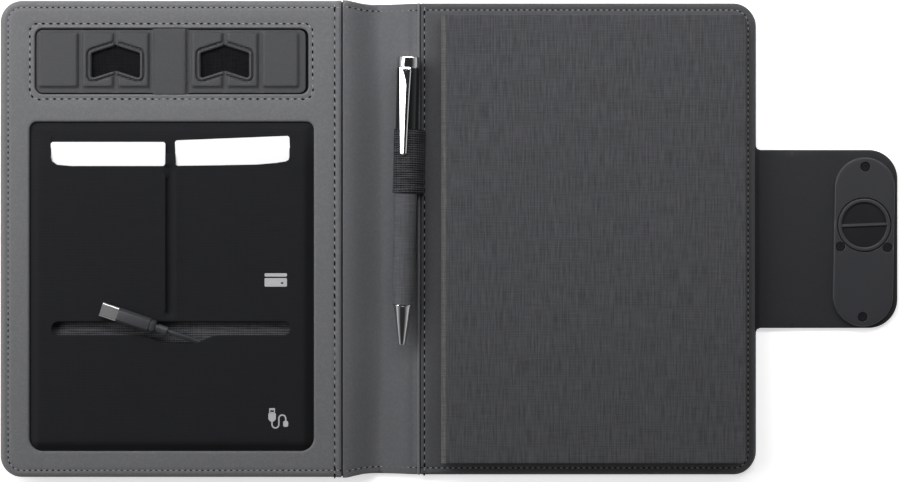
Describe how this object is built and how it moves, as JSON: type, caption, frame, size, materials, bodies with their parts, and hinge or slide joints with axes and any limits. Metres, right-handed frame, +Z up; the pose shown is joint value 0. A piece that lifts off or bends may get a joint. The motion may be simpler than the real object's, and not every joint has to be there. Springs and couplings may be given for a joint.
{
  "type": "power bank organizer",
  "caption": "Leather notebook organizer, open: built-in battery with charging cable, card pockets, folding phone stand, pen in a loop, bound notebook and a magnetic flap lock.",
  "frame": {"origin": "centre of the open organizer's outline, on the surface it lies on", "axes": "+X from the front cover's free edge to the flap's tip, +Y towards the top of the pages, +Z up"},
  "size_m": [0.433, 0.23, 0.0184],
  "materials": {
    "outer_leather": "matt grained hide",
    "lining_leather": "matt fine-grained hide",
    "stiff_board": "raw",
    "foam_frame": "moulded",
    "notebook_cloth": "linen weave",
    "paper": "uncoated",
    "card_stock": "smooth white",
    "black_fabric": "fine weave",
    "grey_weave": "coarse weave",
    "tray_fabric": "grainy black",
    "elastic": "ribbed elastic",
    "shell_plastic": "matt",
    "cell_foil": "foil",
    "circuit": "satin",
    "cable_jacket": "matt",
    "plug_grey": "satin",
    "bright_metal": "polished",
    "pen_black": "gloss",
    "pen_grey": "crackle lacquer",
    "ink_tube": "clear tube",
    "lock_metal": "satin lacquer",
    "steel": "plain"
  },
  "bodies": {
    "back_cover": {"back_cover_leather": "outer_leather", "back_board": "stiff_board", "back_lining": "lining_leather", "notebook_back_cover": "notebook_cloth", "notebook_pages": "paper"},
    "notebook_cover": {"notebook_front_cover": "notebook_cloth"},
    "spine": {"spine_leather": "outer_leather", "spine_lining": "lining_leather"},
    "front_cover": {"front_cover_leather": "outer_leather", "front_board": "stiff_board", "strike_plate": "steel", "front_frame": "foam_frame", "front_lining": "lining_leather", "stand_tray": "tray_fabric", "stand_centre": "lining_leather", "bank_back_shell": "shell_plastic", "bank_front_shell": "shell_plastic", "lipo_cell": "cell_foil", "charger_board": "circuit", "cable_gland": "plug_grey", "pocket_liner": "grey_weave", "pocket_border": "black_fabric", "card_backing": "black_fabric", "fabric_pocket_panel": "black_fabric", "usb_cable": "cable_jacket", "usb_collar": "plug_grey", "usb_plug_body": "plug_grey", "usb_plug_shell": "bright_metal", "usb_contact_tongue": "shell_plastic"},
    "card_left": {"card_left": "card_stock"},
    "card_right": {"card_right": "card_stock"},
    "pen_holder": {"pen_loop": "elastic"},
    "pen_upper": {"pen_upper_barrel": "pen_black", "pen_finial": "bright_metal", "pen_clip": "bright_metal", "pen_twist_unit": "shell_plastic"},
    "pen_lower": {"pen_lower_barrel": "pen_grey", "pen_cone": "bright_metal"},
    "pen_refill": {"pen_refill": "ink_tube"},
    "flap_riser": {"flap_riser": "outer_leather"},
    "flap_end": {"flap_end": "outer_leather", "lock_back_plate": "steel", "lock_front_shell": "lock_metal", "lock_screws": "steel", "lock_magnets": "steel"},
    "turn_disc": {"turn_disc": "lock_metal"},
    "stand_left_inner": {"stand_left_inner_leaf": "lining_leather"},
    "stand_left_outer": {"stand_left_outer_leaf": "lining_leather"},
    "stand_left_end": {"stand_left_end_leaf": "lining_leather"},
    "stand_right_inner": {"stand_right_inner_leaf": "lining_leather"},
    "stand_right_outer": {"stand_right_outer_leaf": "lining_leather"},
    "stand_right_end": {"stand_right_end_leaf": "lining_leather"}
  },
  "joints": [
    {"name": "spine_fold", "type": "hinge", "parent": "back_cover", "child": "spine", "pos_m": [-0.01935, 0, 0.0012], "axis": [0, -1, 0], "range_deg": [-90, 0]},
    {"name": "front_fold", "type": "hinge", "parent": "spine", "child": "front_cover", "pos_m": [-0.05005, 0, 0.0012], "axis": [0, -1, 0], "range_deg": [-90, 0]},
    {"name": "flap_fold", "type": "hinge", "parent": "back_cover", "child": "flap_riser", "pos_m": [0.1486, 0, 0.0012], "axis": [0, 1, 0], "range_deg": [-90, 0]},
    {"name": "flap_wrap", "type": "hinge", "parent": "flap_riser", "child": "flap_end", "pos_m": [0.1836, 0, 0.0012], "axis": [0, 1, 0], "range_deg": [-90, 0]},
    {"name": "disc_turn", "type": "hinge", "parent": "flap_end", "child": "turn_disc", "pos_m": [0.20004, 0.0068, 0.004], "axis": [0, 0, 1], "range_deg": [0, 90]},
    {"name": "notebook_open", "type": "hinge", "parent": "back_cover", "child": "notebook_cover", "pos_m": [-0.0018, 0, 0.0125], "axis": [0, -1, 0], "range_deg": [0, 150]},
    {"name": "pen_swing", "type": "hinge", "parent": "back_cover", "child": "pen_holder", "pos_m": [-0.0123, 0, 0.00425], "axis": [0, -1, 0], "range_deg": [-67.5, 0]},
    {"name": "pen_draw", "type": "slide", "parent": "pen_holder", "child": "pen_upper", "axis": [0.0236, 0.9997, 0], "range_m": [0, 0.105]},
    {"name": "pen_twist", "type": "hinge", "parent": "pen_upper", "child": "pen_lower", "pos_m": [-0.0211, 0.0373, 0.0087], "axis": [0.0236, 0.9997, 0], "range_deg": [0, 180]},
    {"name": "refill_advance", "type": "slide", "parent": "pen_upper", "child": "pen_refill", "axis": [-0.0236, -0.9997, 0], "range_m": [0, 0.005]},
    {"name": "card_left_draw", "type": "slide", "parent": "front_cover", "child": "card_left", "axis": [0, -1, 0], "range_m": [-0.06, 0]},
    {"name": "card_right_draw", "type": "slide", "parent": "front_cover", "child": "card_right", "axis": [0.0401, -0.9992, 0], "range_m": [-0.06, 0]},
    {"name": "stand_left_lift", "type": "hinge", "parent": "front_cover", "child": "stand_left_inner", "pos_m": [-0.14335, 0, 0.0108], "axis": [0, 1, 0], "range_deg": [0, 60]},
    {"name": "stand_left_ridge", "type": "hinge", "parent": "stand_left_inner", "child": "stand_left_outer", "pos_m": [-0.16035, 0, 0.01], "axis": [0, 1, 0], "range_deg": [-120, 0]},
    {"name": "stand_left_settle", "type": "hinge", "parent": "stand_left_outer", "child": "stand_left_end", "pos_m": [-0.17735, 0, 0.0108], "axis": [0, 1, 0], "range_deg": [0, 60]},
    {"name": "stand_right_lift", "type": "hinge", "parent": "front_cover", "child": "stand_right_inner", "pos_m": [-0.12505, 0, 0.0108], "axis": [0, -1, 0], "range_deg": [0, 60]},
    {"name": "stand_right_ridge", "type": "hinge", "parent": "stand_right_inner", "child": "stand_right_outer", "pos_m": [-0.10805, 0, 0.01], "axis": [0, -1, 0], "range_deg": [-120, 0]},
    {"name": "stand_right_settle", "type": "hinge", "parent": "stand_right_outer", "child": "stand_right_end", "pos_m": [-0.09105, 0, 0.0108], "axis": [0, -1, 0], "range_deg": [0, 60]}
  ],
  "couplings": [
    {"joint": "pen_swing", "follows": "spine_fold", "ratio": 0.75},
    {"joint": "refill_advance", "follows": "pen_twist", "m_per_rad": 0.0015915},
    {"joint": "stand_left_ridge", "follows": "stand_left_lift", "ratio": -2},
    {"joint": "stand_left_settle", "follows": "stand_left_lift", "ratio": 1},
    {"joint": "stand_right_ridge", "follows": "stand_right_lift", "ratio": -2},
    {"joint": "stand_right_settle", "follows": "stand_right_lift", "ratio": 1}
  ]
}
